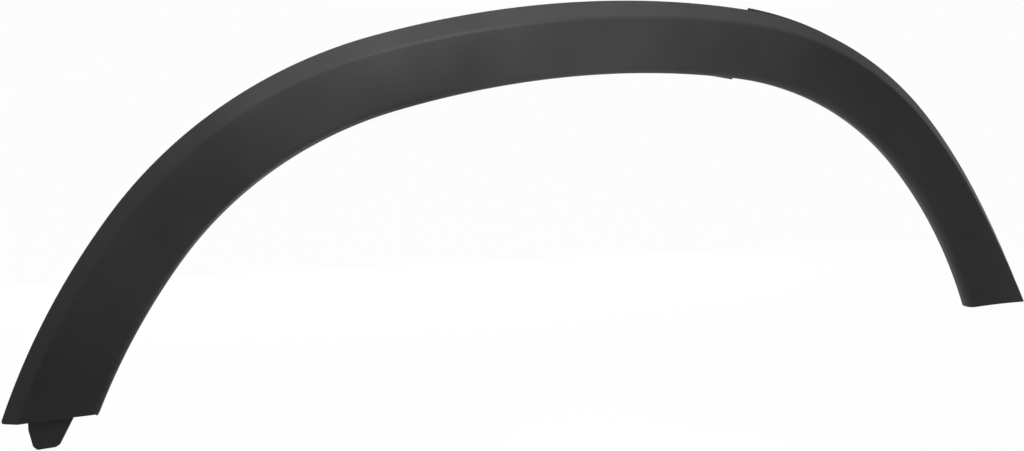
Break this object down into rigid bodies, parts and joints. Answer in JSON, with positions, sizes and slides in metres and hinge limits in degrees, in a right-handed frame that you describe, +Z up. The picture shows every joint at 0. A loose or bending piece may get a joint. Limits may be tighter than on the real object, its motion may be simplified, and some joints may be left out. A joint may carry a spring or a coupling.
{
  "type": "wheel arch trim",
  "caption": "Arched moulded plastic trim for a car's wheel opening, with a bevelled outer edge, a rolled return flange and an end tongue, clipped to the wing from behind.",
  "frame": {"origin": "on the axis of the round locating pin at the crown, where its disc meets the body", "axes": "+X along the car towards the shorter leg, +Y into the body, away from the outside face, +Z up"},
  "size_m": [0.9942, 0.1053, 0.3758],
  "materials": {
    "trim_plastic": "fine moulded grain, soft sheen",
    "clip_plastic": "natural nylon, slightly translucent and smooth"
  },
  "bodies": {
    "root": {"arch_moulding": "trim_plastic", "clip_1": "clip_plastic", "clip_2": "clip_plastic", "clip_3": "clip_plastic", "clip_4": "clip_plastic", "clip_5": "clip_plastic", "clip_6": "clip_plastic", "clip_7": "clip_plastic", "clip_8": "clip_plastic"}
  },
  "joints": []
}
